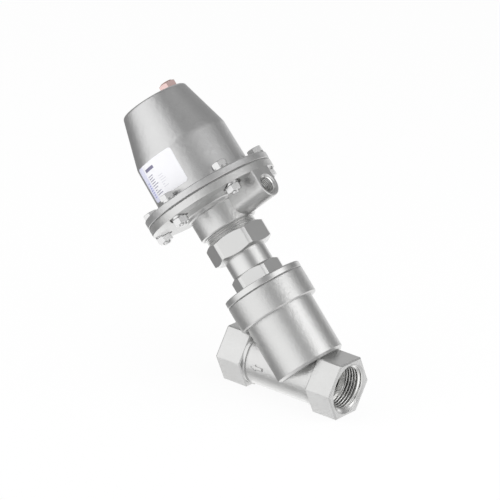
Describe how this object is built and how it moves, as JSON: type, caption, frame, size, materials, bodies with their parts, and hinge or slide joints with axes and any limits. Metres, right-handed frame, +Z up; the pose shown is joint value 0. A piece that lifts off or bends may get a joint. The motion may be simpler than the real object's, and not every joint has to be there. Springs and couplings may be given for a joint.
{
  "type": "pneumatic angle-seat piston valve",
  "caption": "Stainless steel angle-seat valve with threaded hexagon ends and a spring-return pneumatic piston actuator on a slanted neck.",
  "frame": {"origin": "centre of the inlet port's mouth, on the pipe axis", "axes": "+X out of the inlet port along the pipe axis, +Z up, with the actuator axis in the XZ plane leaning to -X at 45 degrees"},
  "size_m": [0.2037, 0.0982, 0.1982],
  "materials": {
    "cast_stainless": "investment-cast stainless steel, bead blasted to a satin",
    "turned_stainless": "turned stainless steel, satin",
    "blasted_stainless": "cast stainless steel shell, fine bead-blasted satin",
    "polished_stainless": "ground and polished stainless steel",
    "screw_stainless": "cold-headed stainless steel, semi bright",
    "spring_steel": "drawn spring steel",
    "piston_aluminium": "turned aluminium",
    "gland_brass": "turned brass",
    "vent_brass": "brass hexagon, dull reddish",
    "sintered_bronze": "sintered bronze grains",
    "ptfe": "white PTFE",
    "seal_rubber": "black seal rubber",
    "graphite": "graphite gasket sheet",
    "label_film": "white printed polyester film"
  },
  "bodies": {
    "body": {"valve_body": "cast_stainless", "bonnet_gasket": "graphite", "bonnet": "turned_stainless", "packing_spring": "spring_steel", "packing_washer": "turned_stainless", "packing_rings": "ptfe", "packing_gland": "gland_brass", "stem_wiper": "seal_rubber", "retaining_ring": "spring_steel", "tube_seal": "seal_rubber", "union_nut": "turned_stainless"},
    "actuator": {"actuator_base": "cast_stainless", "stem_bush": "gland_brass", "stem_seal": "seal_rubber", "flange_gasket": "seal_rubber", "spring_housing": "blasted_stainless", "vent_body": "vent_brass", "vent_dome": "sintered_bronze", "rating_label": "label_film", "flange_screws": "screw_stainless", "flange_washers": "screw_stainless", "flange_nuts": "screw_stainless", "outer_spring": "spring_steel", "inner_spring": "spring_steel"},
    "stem": {"stem": "polished_stainless", "piston": "piston_aluminium", "piston_seal": "seal_rubber", "piston_guide_ring": "ptfe", "piston_washer": "screw_stainless", "piston_nut": "screw_stainless", "disc_holder": "turned_stainless", "seat_disc": "ptfe", "disc_washer": "screw_stainless", "disc_nut": "screw_stainless"}
  },
  "joints": [
    {"name": "actuator_swivel", "type": "hinge", "parent": "body", "child": "actuator", "pos_m": [-0.02595, 0, 0], "axis": [-0.7071, 0, 0.7071], "continuous": true},
    {"name": "stem_lift", "type": "slide", "parent": "actuator", "child": "stem", "axis": [-0.7071, 0, 0.7071], "range_m": [0, 0.015], "stiffness_N_per_m": 3000, "springref_m": -0.01, "deforming": ["outer_spring", "inner_spring"]}
  ]
}
